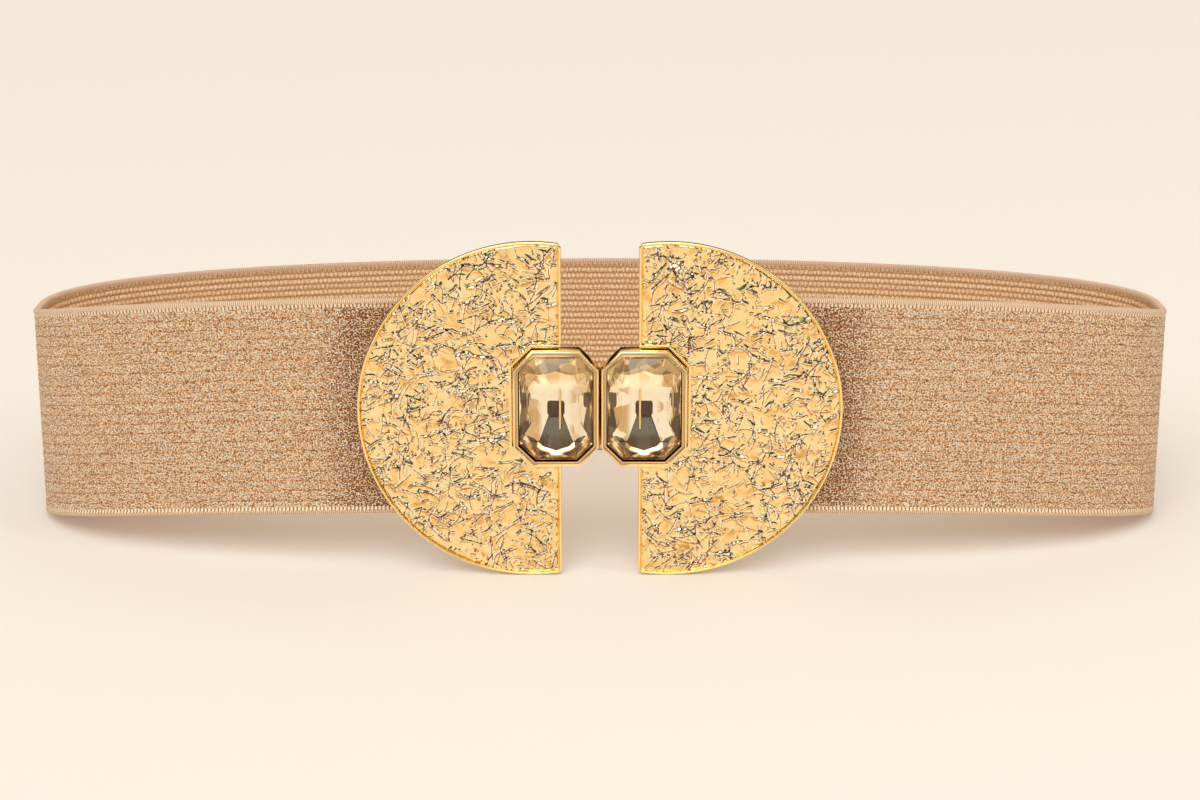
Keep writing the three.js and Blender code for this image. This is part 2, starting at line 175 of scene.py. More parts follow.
KEY_PLACE = (-0.2, -1.0, 1.0)  # only the direction counts
bpy.ops.object.light_add(type="SUN", location=KEY_PLACE, rotation=facing(KEY_PLACE, (0, 0, 0)))
key = bpy.context.object
key.name = "key"
key.data.energy = 1.35
key.data.angle = math.radians(50)
key.data.color = (0.94, 0.98, 1)
strip_light("front_strip", (0, -1.3, 1.0), 1.4, 0.14, 1.4)
strip_light("left_strip", (-1.2, -0.6, 0.7), 0.14, 0.8, 1.2)
strip_light("right_strip", (1.2, -0.6, 0.7), 0.14, 0.8, 2.6)

world = bpy.data.worlds.new("studio")
bpy.context.scene.world = world
world.use_nodes = True
world.node_tree.nodes.clear()
shade = Shade(world.node_tree)
direction = shade.node("TexCoord")
up = direction.part("Z")
WALL_DIM = (0.025, 0.016, 0.008, 1)
WALL_BRIGHT = (1.0, 0.87, 0.71, 1)
sky = shade.node(
    "ValToRGB",
    {"stops": [(0.0, 0.6), (0.49, 0.5), (0.52, WALL_DIM), (0.66, WALL_DIM), (0.76, WALL_BRIGHT)]},
    {0: up * 0.5 + 0.5},
)
backdrop = shade.node("Background", None, {"Color": sky, "Strength": 0.95})
output = world.node_tree.nodes.new("ShaderNodeOutputWorld")
world.node_tree.links.new(backdrop.socket, output.inputs["Surface"])
bpy.context.scene.view_settings.view_transform = "Standard"

# Elastic band
# One length of 60 mm elastic, knitted from metallic and plain yarn in lengthways ribs, with a
# close woven edge above and below. Each end passes round the strap bar behind its plate and is
# sewn back to itself, and the belt stands on the edge of its back half.
BAND_WIDTH = 60 * MM
BAND_WALL = 2 * MM
RIB_GROOVE = 0.3 * MM  # off the wall, at a groove between two ribs
SELVAGE_HEIGHT = 1.5 * MM
SELVAGE_WALL = 2.4 * MM
RIBS = 20
LOOP_HALF_WIDTH = 158.6 * MM
FRONT_DEPTH = 53.4 * MM  # from the loop's widest line
BACK_DEPTH = 49.4 * MM
FRONT_FULLNESS = 2.65  # power of the oval: 2 gives an ellipse, and more gives squarer ends
BACK_FULLNESS = 2.15
LIFT_EASE = 1.5  # power by which the front rises towards the plates
LOOP_POINTS = 400  # in a quarter of the loop
PLATE_RADIUS = 46.3 * MM
PLATE_OVERRUN = 7.8 * MM  # from the disc's centre to the flat edge
PLATE_GAP = 20.4 * MM
PLATE_DEPTH = 3 * MM
BAND_CLEARANCE = 0.6 * MM
STRAP_BAR_DIAMETER = 3 * MM
STRAP_BAR_OFFSET = 17 * MM  # outwards from the disc's centre
CLEARANCE = 0.35 * MM
TAIL_LENGTH = 16 * MM
TAIL_CLOSING = 9 * MM  # along which the tail comes in against the band
TAIL_GAP = 0.35 * MM
FOLD_TURN = math.radians(6)  # between points of the fold round the bar
COLUMN_STEP = 2 * MM  # at most, between columns of the mesh
COLUMN_TURN = math.radians(7)

disc_centre = PLATE_GAP / 2 + PLATE_OVERRUN
strap_bar_across = disc_centre + STRAP_BAR_OFFSET
wrap_radius = STRAP_BAR_DIAMETER / 2 + CLEARANCE + SELVAGE_WALL / 2
band_lift = PLATE_RADIUS - BAND_WIDTH / 2
widest = rim_front + PLATE_DEPTH + BAND_CLEARANCE + FRONT_DEPTH


def loop_point(turn, fullness, depth):
    """A point of the loop's middle line, "turn" running from 0 at the widest line to a right angle."""
    across = (LOOP_HALF_WIDTH - BAND_WALL / 2) * math.cos(turn) ** (2 / fullness)
    return Vector((across, (depth - BAND_WALL / 2) * math.sin(turn) ** (2 / fullness)))


def square_to(points, i):
    """The unit vector from the line towards the inside of the loop, on its right half."""
    before = points[max(i - 1, 0)]
    after = points[min(i + 1, len(points) - 1)]
    return Vector((after.y - before.y, before.x - after.x, 0)).normalized()


def right_half():
    """Closely spaced points of the middle line, from the middle of the back to the sewn end."""
    back = []
    for i in range(LOOP_POINTS, 0, -1):
        point = loop_point(math.pi / 2 * i / LOOP_POINTS, BACK_FULLNESS, BACK_DEPTH)
        back.append(Vector((0 if i == LOOP_POINTS else point.x, widest + point.y, 0)))
    half = LOOP_HALF_WIDTH - BAND_WALL / 2
    last = math.acos((strap_bar_across / half) ** (FRONT_FULLNESS / 2))
    bar_rise = loop_point(last, FRONT_FULLNESS, FRONT_DEPTH).y
    front = []
    for i in range(LOOP_POINTS + 1):
        point = loop_point(last * i / LOOP_POINTS, FRONT_FULLNESS, FRONT_DEPTH)
        lift = band_lift * (point.y / bar_rise) ** LIFT_EASE
        front.append(Vector((point.x, widest - point.y, lift)))
    end = front[-1]
    side = square_to(front, len(front) - 1)
    ahead = Vector((-side.y, side.x, 0))
    fold = []
    for step in range(1, round(math.pi / FOLD_TURN)):
        turn = FOLD_TURN * step
        fold.append(end + wrap_radius * (side * (1 - math.cos(turn)) + ahead * math.sin(turn)))
    tail = []
    length = 0
    i = len(front) - 1
    while length < TAIL_LENGTH:
        share = min(length / TAIL_CLOSING, 1)
        closing = share * share * (3 - 2 * share)
        offset = 2 * wrap_radius + (SELVAGE_WALL + TAIL_GAP - 2 * wrap_radius) * closing
        tail.append(front[i] + square_to(front, i) * offset)
        length += (front[i] - front[i - 1]).length
        i -= 1
    return back + front + fold + tail


def spaced(points):
    """Keeps the points that the longest step and the largest turn call for."""
    kept = [points[0]]
    length = 0
    turn = 0
    for before, point, after in zip(points, points[1:], points[2:]):
        length += (point - before).length
        turn += (point - before).angle(after - point, 0)
        if length > COLUMN_STEP or turn > COLUMN_TURN:
            kept.append(point)
            length = 0
            turn = 0
    return kept + [points[-1]]


def band_levels():
    """Heights across the band and the wall's thickness at each, with a round edge above and below."""
    edge = [(0, 0.55), (0.12, 0.8), (0.3, 0.93), (0.55, 1), (0.85, 1)]
    lower = [(share * SELVAGE_HEIGHT, SELVAGE_WALL * wall) for share, wall in edge]
    upper = [(BAND_WIDTH - height, wall) for height, wall in reversed(lower)]
    pitch = (BAND_WIDTH - 2 * SELVAGE_HEIGHT) / RIBS
    ribs = []
    for rib in range(RIBS):
        for share in (0, 0.15, 0.38, 0.62, 0.85):
            crest = math.sin(math.pi * share) ** 0.5
            wall = BAND_WALL - RIB_GROOVE * (1 - crest)
            ribs.append((SELVAGE_HEIGHT + pitch * (rib + share), wall))
    ribs.append((BAND_WIDTH - SELVAGE_HEIGHT, BAND_WALL - RIB_GROOVE))
    return lower + ribs + upper


def smooth_step(value, low, high):
    """0 below "low", 1 above "high" and a curve between. With "low" above "high" it is turned round."""
    return value.node(
        "MapRange",
        {"interpolation_type": "SMOOTHSTEP"},
        {0: value, 1: low, 2: high, 3: 0.0, 4: 1.0},
    )


def cloth_place(shade):
    """Millimetres along the cloth and up it."""
    place = shade.node("UVMap", {"uv_map": "UVMap"})
    return place.part("X") / MM, place.part("Y") / MM


def at(shade, x, y):
    """The place x, y of a pattern on the cloth."""
    return shade.node("CombineXYZ", None, {0: x, 1: y})


def cloth_noise(shade, place, settings):
    """A noise pattern on the cloth."""
    return shade.node("TexNoise", {"noise_dimensions": "2D"}, {"Vector": place, **settings})


# Sizes of the knit, in millimetres
RIB_PITCH = (BAND_WIDTH - 2 * SELVAGE_HEIGHT) / RIBS / MM
SELVAGE = 1.05  # height of the plain woven edge
WIDTH = BAND_WIDTH / MM
THREAD = 0.55  # between the selvage's threads
BEAD = 1.05  # between the stitches beside the selvage
STRAND_SCALE = 1.5  # curled strands to the millimetre
PAINTED_GLINT_SCALE = 2.4
YARN_LOOP_SCALE = 0.85
YARN_LOOP_RADIUS = 0.42  # share of its cell
KNIT_STITCH = 1.3  # length of a stitch of the inside
KNIT_ROW = 1.75  # height of a row of them
KNIT_DARK = (0.2, 0.06, 0.01, 1)
KNIT_TAN = (0.84, 0.43, 0.16, 1)
KNIT_LIGHT = (1.0, 0.72, 0.4, 1)
KNIT_BRIGHT = (1.0, 0.93, 0.78, 1)
SELVAGE_DARK = (0.6, 0.34, 0.19, 1)
SELVAGE_LIGHT = (1.0, 0.8, 0.6, 1)
INSIDE_DARK = (0.3, 0.13, 0.05, 1)
INSIDE_TAN = (0.8, 0.46, 0.22, 1)
INSIDE_LIGHT = (0.94, 0.76, 0.53, 1)
INSIDE_EDGE_DARK = (0.55, 0.32, 0.2, 1)
INSIDE_EDGE_LIGHT = (0.85, 0.62, 0.46, 1)


def selvage_parts(shade, u, v):
    """Share of the selvage, height of its upright threads, and the line of stitches beside it."""
    from_edge = v.math("MINIMUM", v, WIDTH - v)
    selvage = smooth_step(from_edge, SELVAGE + 0.15, SELVAGE - 0.15)
    thread = (u * (2 * math.pi / THREAD)).math("SINE") * 0.5 + 0.5
    beside = from_edge - (SELVAGE + 0.55)
    wave = (u * (2 * math.pi / BEAD)).math("SINE") * 0.5 + 0.5
    line = smooth_step(beside.math("ABSOLUTE"), 0.6, 0.25)
    return selvage, thread, line, wave


def outer_knit():
    """Curled bright strands and small loops in ribs, with brown gaps, and painted glints on the metallic
    yarn.
    """
    made, shade = new_material("metallic knit")
    u, v = cloth_place(shade)
    selvage, thread, line, wave = selvage_parts(shade, u, v)
    wander = cloth_noise(shade, at(shade, u, v), {"Scale": 0.35, "Detail": 1.0})
    curl = cloth_noise(
        shade,
        at(shade, u * 0.85, v),
        {"Scale": STRAND_SCALE, "Detail": 1.0, "Roughness": 0.4, "Distortion": 0.5},
    )
    swing = curl - 0.5
    strand = smooth_step(swing.math("ABSOLUTE"), 0.13, 0.01)
    # Painted glints: sparse flecks of the metallic yarn are painted bright, as highlights.
    painted_glint = cloth_noise(shade, at(shade, u, v), {"Scale": PAINTED_GLINT_SCALE, "Detail": 0.0})
    loops = shade.node(
        "TexVoronoi",
        {"voronoi_dimensions": "2D"},
        {
            "Vector": at(shade, u + swing * 1.2, v * 1.1 + wander),
            "Scale": YARN_LOOP_SCALE,
            "Randomness": 0.8,
        },
    )
    loop = smooth_step((loops - YARN_LOOP_RADIUS).math("ABSOLUTE"), 0.17, 0.02)
    strand = strand * (loop * 0.8 + 0.2) + loop * 0.17 + smooth_step(painted_glint, 0.56, 0.68) * 0.6
    rib = (v - SELVAGE + (wander - 0.5) * 0.8) / RIB_PITCH
    across_rib = rib.math("FRACT") - 0.5
    groove = smooth_step(across_rib.math("ABSOLUTE"), 0.38, 0.5)
    # Painted shade: the yarn is painted darker beside the plates, which keep the light off it
    place = shade.node("TexCoord", output=3)
    beside = place.part("X").math("ABSOLUTE")
    plate_painted_shade = smooth_step(beside, 76 * MM, 63 * MM) * smooth_step(place.part("Y"), -20 * MM, -35 * MM)
    body = (strand - plate_painted_shade * 0.2) * (1 - groove * 0.75)
    body = body * (1 - line) + wave * line
    height = body * (1 - selvage) + thread * selvage
    colour = shade.node(
        "ValToRGB",
        {"stops": [(0.0, KNIT_DARK), (0.22, KNIT_TAN), (0.45, KNIT_LIGHT), (0.68, KNIT_BRIGHT)]},
        {0: body},
    )
    edge_colour = shade.mix(thread, SELVAGE_DARK, SELVAGE_LIGHT)
    bump = shade.node("Bump", None, {"Strength": 0.9, "Distance": 0.25 * MM, "Height": height})
    set_surface(
        shade,
        shade.node(
            "BsdfPrincipled",
            None,
            {
                "Base Color": shade.mix(selvage, colour, edge_colour),
                "Metallic": body * (1 - selvage) * 0.25,
                "Roughness": 0.75 - body * 0.3,
                "Normal": bump,
            },
        ),
    )
    return made


def inner_knit():
    """Rows of plump rosy stitches, each row set half a stitch on from the last."""
    made, shade = new_material("plain knit")
    u, v = cloth_place(shade)
    selvage, thread, line, wave = selvage_parts(shade, u, v)
    row = v / KNIT_ROW
    turn = row.math("MODULO", row.math("FLOOR"), 2.0) * 0.5
    cell = u / KNIT_STITCH + turn
    dx = (cell.math("FRACT") - 0.5) * KNIT_STITCH
    dy = (row.math("FRACT") - 0.5) * KNIT_ROW
    reach = (dx * dx + dy * dy).math("SQRT")
    speckle = cloth_noise(shade, at(shade, u, v), {"Scale": 0.9, "Detail": 2.0})
    fine = cloth_noise(shade, at(shade, u, v), {"Scale": 2.6, "Detail": 1.0})
    stitch = smooth_step(reach + (fine - 0.5) * 1.4, 0.95, 0.15) * (0.05 + speckle * 1.4) + fine * 0.2
    height = stitch * (1 - selvage) + thread * selvage
    colour = shade.node(
        "ValToRGB",
        {"stops": [(0.0, INSIDE_DARK), (0.4, INSIDE_TAN), (0.85, INSIDE_LIGHT)]},
        {0: stitch},
    )
    edge_colour = shade.mix(thread, INSIDE_EDGE_DARK, INSIDE_EDGE_LIGHT)
    bump = shade.node("Bump", None, {"Strength": 0.8, "Distance": 0.3 * MM, "Height": height})
    set_surface(
        shade,
        shade.node(
            "BsdfPrincipled",
            None,
            {"Base Color": shade.mix(selvage, colour, edge_colour), "Roughness": 0.7, "Normal": bump},
        ),
    )
    return made


right = spaced(right_half())
stations = list(reversed(right)) + [Vector((-p.x, p.y, p.z)) for p in right[1:]]
along = [0]
for before, point in zip(stations, stations[1:]):
    along.append(along[-1] + Vector((point.x - before.x, point.y - before.y)).length)
levels = band_levels()
bpy.ops.object.select_all(action="DESELECT")
bpy.ops.mesh.primitive_grid_add(x_subdivisions=len(stations) - 1, y_subdivisions=len(levels) - 1, size=1)
band = bpy.context.object
band.name = "elastic_strap"
wall_group = band.vertex_groups.new(name="wall")
cloth_places = []
for vertex in band.data.vertices:
    column = round((vertex.co.x + 0.5) * (len(stations) - 1))
    height, wall = levels[round((vertex.co.y + 0.5) * (len(levels) - 1))]
    vertex.co = stations[column] + Vector((0, 0, height))
    wall_group.add([vertex.index], wall / SELVAGE_WALL, "REPLACE")
    cloth_places.append((along[column], height))
uv = band.data.uv_layers["UVMap"].data
for corner in band.data.loops:
    uv[corner.index].uv = cloth_places[corner.vertex_index]
band.data.materials.append(outer_knit())
band.data.materials.append(inner_knit())
solidify = band.modifiers.new("wall", "SOLIDIFY")
solidify.thickness = SELVAGE_WALL
solidify.offset = 0
solidify.vertex_group = "wall"
solidify.material_offset = 1
bpy.ops.object.modifier_apply(modifier="wall")
bpy.ops.object.shade_smooth()
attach(band, "root")
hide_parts("elastic_band")

# Buckle plates
# Two plates cut from one disc, cast in zinc alloy and plated gold. The face is crumpled like foil
# inside a smooth rim, with a raised border round the setting. Lugs on the back carry the strap
# bar, and on the right plate also the bar that the clasp hooks on.
RIM_WIDTH = 0.78 * MM
RIM_RAISE = 0.8 * MM  # from the foot of the crumpled face
RELIEF_STEP = 0.25 * MM  # between the points that shape the crumpled face
CRUMPLES = ((6.5 * MM, 0.5 * MM, 3), (2.6 * MM, 0.24 * MM, 8))  # cell, height and seed of each size
WARP = 0.35  # sideways, share of a cell
FOLDS = 1800
FOLD_BEND = 1.3  # radians at most, over its length
FOLD_FADE = 5  # a fold fades out over this part of its length at each end, one in five
FOLD_LENGTH = (1.2 * MM, 8 * MM)
FOLD_HEIGHT = (0.06 * MM, 0.24 * MM)
FOLD_REACH = 0.75 * MM  # on the gentle side of a fold's line
FOLD_STEEP = 0.38  # reach on its steep side, as a share
# The painted highlight beside a fold's line reaches this share of the gentle side.
FOLD_HIGHLIGHT_REACH = 0.45  # reach of its bright edge, as a share
PIT_GROUPS = 60
PITS = 9
PIT_RADIUS = 0.4 * MM
PIT_DEPTH = 0.16 * MM
PIT_SPREAD = 2 * MM
RELIEF_SEED = 20
RELIEF_MARGIN = 0.1 * MM  # of the face that stays plain beside a border
SLOPE_RANGE = 0.3 * MM  # change of height over two steps of the grid that takes the slope from 0 to 1
SETTING_WIDTH = 22.6 * MM
SETTING_HEIGHT = 31.8 * MM
SETTING_CORNER = 5.1 * MM
SETTING_GAP = 0.7 * MM
SETTING_RISE = 1.45 * MM  # of its middle above the plate's
SEAT_RIM_WIDTH = 0.7 * MM
SEAT_WALL = 0.8 * MM
SEAT_BEVEL = 0.12 * MM
STRAP_LUG = 3 * MM
CATCH_BAR_DIAMETER = 2.5 * MM
CATCH_REACH = 0.5 * MM
CATCH_LUG = 2.4 * MM
LUG_CLEARANCE = 0.8 * MM
LUG_BEVEL = 0.25 * MM
LUG_SINK = 0.2 * MM  # into the plate
CLASP_HEIGHT = 21 * MM
CLASP_WALL = 1.5 * MM
STUD_HEAD = 1 * MM

PLATING_DEEP_SHADED = (0.7, 0.36, 0.09, 1)
PLATING = (1.0, 0.7, 0.3, 1)
PLATING_PALE_LIT = (1.0, 0.87, 0.48, 1)
PLATING_PAINTED_HIGHLIGHT = (1.0, 0.96, 0.84, 1)
PLATING_PAINTED_CREASE_SHADE = (0.2, 0.07, 0.012, 1)
GRAZING_TINT = (1.0, 0.75, 0.45, 1)  # of the gold seen edge on

# Section of the rim and the plate's side, from the foot of the rim to the flat back
RIM_SECTION = (
    (0.72 * MM, 0.35 * MM),
    (0.66 * MM, 0.1 * MM),
    (0.56 * MM, 0.01 * MM),
    (0.34 * MM, 0),
    (0.16 * MM, 0.05 * MM),
    (0.04 * MM, 0.18 * MM),
    (0, 0.4 * MM),
    (0, 1.2 * MM),
    (0.3 * MM, 1.9 * MM),
    (0.9 * MM, 2.7 * MM),
    (1.6 * MM, 3 * MM),
)

setting_centre = (SETTING_GAP + SETTING_WIDTH) / 2
setting_outer = SETTING_GAP / 2 + SETTING_WIDTH
setting_level = PLATE_RADIUS + SETTING_RISE
seat_floor = rim_front + PLATE_DEPTH - SEAT_WALL
noise.seed_set(RELIEF_SEED)  # left alone, it follows the clock


def scatter(i, j, seed):
    """A number from 0 up to 1 that is always the same for the same three numbers."""
    value = math.sin(i * 127.1 + j * 311.7 + seed * 74.7) * 43758.5453
    return value - math.floor(value)


def lattice_height(x, y, seed):
    """Height on a lattice of triangles whose corners have chance heights from 0 to 1."""
    skew = (x + y) * (math.sqrt(3) - 1) / 2
    i = math.floor(x + skew)
    j = math.floor(y + skew)
    right_share = x + skew - i
    up_share = y + skew - j
    near = max(right_share, up_share)
    far = min(right_share, up_share)
    middle = (i + 1, j) if right_share > up_share else (i, j + 1)
    first = scatter(i, j, seed) * (1 - near)
    last = scatter(i + 1, j + 1, seed) * far
    return first + scatter(*middle, seed) * (near - far) + last


def crumple(x, y, side):
    """Height of the crumpled face: flat facets that meet in creases."""
    height = 0
    for cell, rise, seed in CRUMPLES:
        shift = noise.noise_vector(Vector((x / cell, y / cell, seed + side))) * WARP
        height += rise * lattice_height(x / cell + shift.x, y / cell + shift.y, seed + side)
    return height


def near_cells(middle, reach, columns, rows):
    """Cells of the grid within reach of a place."""
    for i in range(max(0, int(middle.x - reach)), min(columns, int(middle.x + reach) + 1) + 1):
        for j in range(max(0, int(middle.y - reach)), min(rows, int(middle.y + reach) + 1) + 1):
            yield i, j


def add_folds(relief, columns, rows, chance):
    """Sharp folds: each rises gently to its curved line, which takes a painted highlight, and drops into
    a crease painted dark as shade.
    """
    reach = FOLD_REACH / RELIEF_STEP
    for _ in range(FOLDS):
        length = FOLD_LENGTH[0] * (FOLD_LENGTH[1] / FOLD_LENGTH[0]) ** chance.random()
        steps = round(length / RELIEF_STEP)
        heading = chance.uniform(0, 2 * math.pi)
        bend = chance.uniform(-FOLD_BEND, FOLD_BEND) / steps
        rise = chance.uniform(*FOLD_HEIGHT)
        shown = chance.uniform(0.55, 1)
        point = Vector((chance.uniform(0, columns), chance.uniform(0, rows)))
        reached = {}
        for step in range(steps):
            ahead = Vector((math.cos(heading + bend * step), math.sin(heading + bend * step)))
            point += ahead
            fade = min(1, FOLD_FADE * step / steps, FOLD_FADE * (steps - step) / steps)
            for cell in near_cells(point, reach, columns, rows):
                off = Vector(cell) - point
                across = off.cross(ahead) / reach
                if abs(off.dot(ahead)) > 0.6 or not -FOLD_STEEP < across < 1:
                    continue
                lift = 1 - across if across > 0 else 1 + across / FOLD_STEEP
                reached[cell] = max(reached.get(cell, (0, 0)), (fade * lift * lift, across))
        for (i, j), (lift, across) in reached.items():
            relief[i][j].x += rise * lift
            # The steep side is marked for painted crease shade, the gentle edge beside the line for a
            # painted highlight.
            if across < 0:
                relief[i][j].y = max(relief[i][j].y, shown)
            elif across < FOLD_HIGHLIGHT_REACH:
                relief[i][j].z = max(relief[i][j].z, shown * (1 - across / FOLD_HIGHLIGHT_REACH * 0.5))


def add_pits(relief, columns, rows, chance):
    """Scattered groups of small round pits, painted dark inside as shade, with a painted highlight on the
    edge below.
    """
    reach = PIT_RADIUS / RELIEF_STEP
    spread = PIT_SPREAD / RELIEF_STEP
    for _ in range(PIT_GROUPS):
        middle = Vector((chance.uniform(0, columns), chance.uniform(0, rows)))
        for _ in range(PITS):
            pit = middle + Vector((chance.gauss(0, spread), chance.gauss(0, spread)))
            for i, j in near_cells(pit, reach, columns, rows):
                off = (Vector((i, j)) - pit).length / reach
                relief[i][j].x -= PIT_DEPTH * max(0, 1 - off * off)
                if off < 0.5:
                    relief[i][j].y = 1
                elif off < 1 and j < pit.y:
                    relief[i][j].z = max(relief[i][j].z, 0.8)


def in_octagon(x, z, grow):
    """Whether a place lies in the setting's outline, moved out by "grow"."""
    across = abs(x) - SETTING_WIDTH / 2 - grow
    up = abs(z - SETTING_RISE) - SETTING_HEIGHT / 2 - grow
    corner = SETTING_CORNER + grow * (2 - math.sqrt(2))
    return across < 0 and up < 0 and across + up < -corner


def in_field(x, z, inset):
    """Whether a place lies in the plate's outline, moved in by "inset"."""
    return x > -PLATE_OVERRUN + inset and math.hypot(x, z) < PLATE_RADIUS - inset


def edge_place(x, z, inset):
    """The place on the plate's edge, moved in by "inset", that belongs to a place at its rim."""
    flat = -PLATE_OVERRUN + inset
    radius = PLATE_RADIUS - inset
    open_turn = math.acos(flat / radius)
    turn = math.atan2(z, x)
    from_arc = abs(PLATE_RADIUS - RIM_WIDTH / 2 - math.hypot(x, z))
    from_flat = abs(x + PLATE_OVERRUN - RIM_WIDTH / 2)
    if from_arc < from_flat:
        held = max(-open_turn, min(open_turn, turn))
        return radius * math.cos(held), radius * math.sin(held)
    chord = radius * math.sin(open_turn)
    return flat, max(-chord, min(chord, z))


def face_relief(side):
    """Height, painted crease shade and painted edge highlight of the crumpled face at every point of its
    grid.
    """
    columns = math.ceil((PLATE_RADIUS + PLATE_OVERRUN) / RELIEF_STEP)
    rows = math.ceil(2 * PLATE_RADIUS / RELIEF_STEP)
    relief = []
    for i in range(columns + 1):
        x = i * RELIEF_STEP - PLATE_OVERRUN
        column = []
        for j in range(rows + 1):
            column.append(Vector((crumple(x, j * RELIEF_STEP - PLATE_RADIUS, side), 0, 0)))
        relief.append(column)
    chance = random.Random(RELIEF_SEED + side)
    add_folds(relief, columns, rows, chance)
    add_pits(relief, columns, rows, chance)
    return relief


def plate_face(side, relief):
    """The crumpled face: a fine grid, raised by its relief and sunk where the setting sits."""
    columns = len(relief) - 1
    rows = len(relief[0]) - 1
    bpy.ops.object.select_all(action="DESELECT")
    bpy.ops.mesh.primitive_grid_add(x_subdivisions=columns, y_subdivisions=rows, size=1)
    face = bpy.context.object
    bpy.ops.object.mode_set(mode="EDIT")
    bpy.ops.mesh.select_mode(type="VERT")
    bpy.ops.mesh.select_all(action="DESELECT")
    bpy.ops.object.mode_set(mode="OBJECT")
    for vertex in face.data.vertices:
        column = round((vertex.co.x + 0.5) * columns)
        i = column if side > 0 else columns - column
        j = round((vertex.co.y + 0.5) * rows)
        x = i * RELIEF_STEP - PLATE_OVERRUN
        z = j * RELIEF_STEP - PLATE_RADIUS
        depth = rim_front + RIM_RAISE - relief[i][j].x
        if in_octagon(x + disc_centre - setting_centre, z, CLEARANCE):
            depth = seat_floor
        vertex.co = Vector((side * (disc_centre + x), depth, PLATE_RADIUS + z))
        vertex.select = not in_field(x, z, RIM_WIDTH)
    bpy.ops.object.mode_set(mode="EDIT")
    bpy.ops.mesh.delete(type="VERT")
    bpy.ops.mesh.select_all(action="SELECT")
    bpy.ops.mesh.region_to_loop()
    return face


def colour_relief(mesh, side, relief):
    """Stores where the face takes painted crease shade and painted edge highlights, and its upward slope,
    which sets its painted light, for the plating.
    """
    stored = mesh.color_attributes.new(name="relief", type="FLOAT_COLOR", domain="POINT").data
    for vertex, mark in zip(mesh.vertices, stored):
        x = side * vertex.co.x - disc_centre
        z = vertex.co.z - PLATE_RADIUS
        mark.color = (0, 0, 0.6, 1)
        seat = in_octagon(x + disc_centre - setting_centre, z, CLEARANCE + SEAT_RIM_WIDTH + RELIEF_MARGIN)
        front = vertex.co.y < rim_front + 0.6 * PLATE_DEPTH
        if front and not seat and in_field(x, z, RIM_WIDTH + RELIEF_MARGIN):
            i = round((x + PLATE_OVERRUN) / RELIEF_STEP)
            j = round((z + PLATE_RADIUS) / RELIEF_STEP)
            # The upward slope sets painted light: faces tilted up are painted paler, faces tilted down
            # deeper.
            upward = (relief[i][j - 1].x - relief[i][j + 1].x) / SLOPE_RANGE
            mark.color = (relief[i][j].y, relief[i][j].z, max(0, min(1, 0.5 + upward)), 1)


def move_edge(mesh, side, inset, depth):
    """Puts the selected points of a plate's edge at an inset and a depth."""
    bpy.ops.object.mode_set(mode="OBJECT")
    for vertex in mesh.vertices:
        if vertex.select:
            x = side * vertex.co.x - disc_centre
            x, z = edge_place(x, vertex.co.z - PLATE_RADIUS, inset)
            vertex.co = Vector((side * (disc_centre + x), rim_front + depth, PLATE_RADIUS + z))
    bpy.ops.object.mode_set(mode="EDIT")


def rimmed_plate(side, relief):
    """The face with its rim, side and back drawn out of its edge."""
    face = plate_face(side, relief)
    move_edge(face.data, side, RIM_WIDTH, RIM_RAISE)
    for inset, depth in RIM_SECTION:
        bpy.ops.mesh.extrude_edges_move()
        move_edge(face.data, side, inset, depth)
    bpy.ops.mesh.edge_face_add()
    bpy.ops.object.mode_set(mode="OBJECT")
    return face


def octagon_block(side, grow, front, back):
    """A solid octagon of the setting's outline, moved out by "grow", between two depths."""
    bpy.ops.object.select_all(action="DESELECT")
    bpy.ops.mesh.primitive_cylinder_add(
        vertices=8, radius=1, depth=back - front, rotation=(math.pi / 2, math.pi / 8, 0)
    )
    bpy.ops.object.transform_apply(rotation=True)
    block = bpy.context.object
    corner = SETTING_CORNER + grow * (2 - math.sqrt(2))
    for vertex in block.data.vertices:
        across = SETTING_WIDTH / 2 + grow
        up = SETTING_HEIGHT / 2 + grow
        if abs(vertex.co.x) > abs(vertex.co.z):
            up -= corner
        else:
            across -= corner
        vertex.co = Vector((
            side * setting_centre + math.copysign(across, vertex.co.x),
            vertex.co.y + (front + back) / 2,
            setting_level + math.copysign(up, vertex.co.z),
        ))
    return block


def select_faces(mesh, wanted):
    """Selects the faces whose middle and normal pass a test, from edit mode and back to it."""
    bpy.ops.mesh.select_mode(type="FACE")
    bpy.ops.mesh.select_all(action="DESELECT")
    bpy.ops.object.mode_set(mode="OBJECT")
    for face in mesh.polygons:
        face.select = wanted(face.center, face.normal)
    bpy.ops.object.mode_set(mode="EDIT")


def seat_border(side):
    """The raised border round the setting, cut off in line with the plate's flat edge."""
    front = rim_front - SEAT_RIM_PROUD
    block = octagon_block(side, CLEARANCE + SEAT_RIM_WIDTH, front, seat_floor)
    bpy.ops.object.mode_set(mode="EDIT")
    select_faces(block.data, lambda middle, normal: normal.y < -0.9)
    bpy.ops.mesh.inset(thickness=SEAT_RIM_WIDTH)
    bpy.ops.mesh.inset(thickness=0, depth=front - seat_floor)
    behind = seat_floor - 0.1 * MM
    select_faces(block.data, lambda middle, normal: abs(normal.y) > 0.9 and middle.y > behind)
    bpy.ops.mesh.delete(type="FACE")
    bpy.ops.mesh.select_all(action="SELECT")
    bpy.ops.mesh.region_to_loop()
    bpy.ops.mesh.bridge_edge_loops()
    bpy.ops.mesh.select_all(action="SELECT")
    bpy.ops.mesh.bisect(
        plane_co=(side * (PLATE_GAP / 2 + 0.05 * MM), 0, 0),
        plane_no=(side, 0, 0),
        clear_inner=True,
        use_fill=True,
    )
    bpy.ops.mesh.select_all(action="SELECT")
    bpy.ops.mesh.bevel(offset=SEAT_BEVEL, segments=2, affect="EDGES", clamp_overlap=True)
    bpy.ops.object.mode_set(mode="OBJECT")
    return block


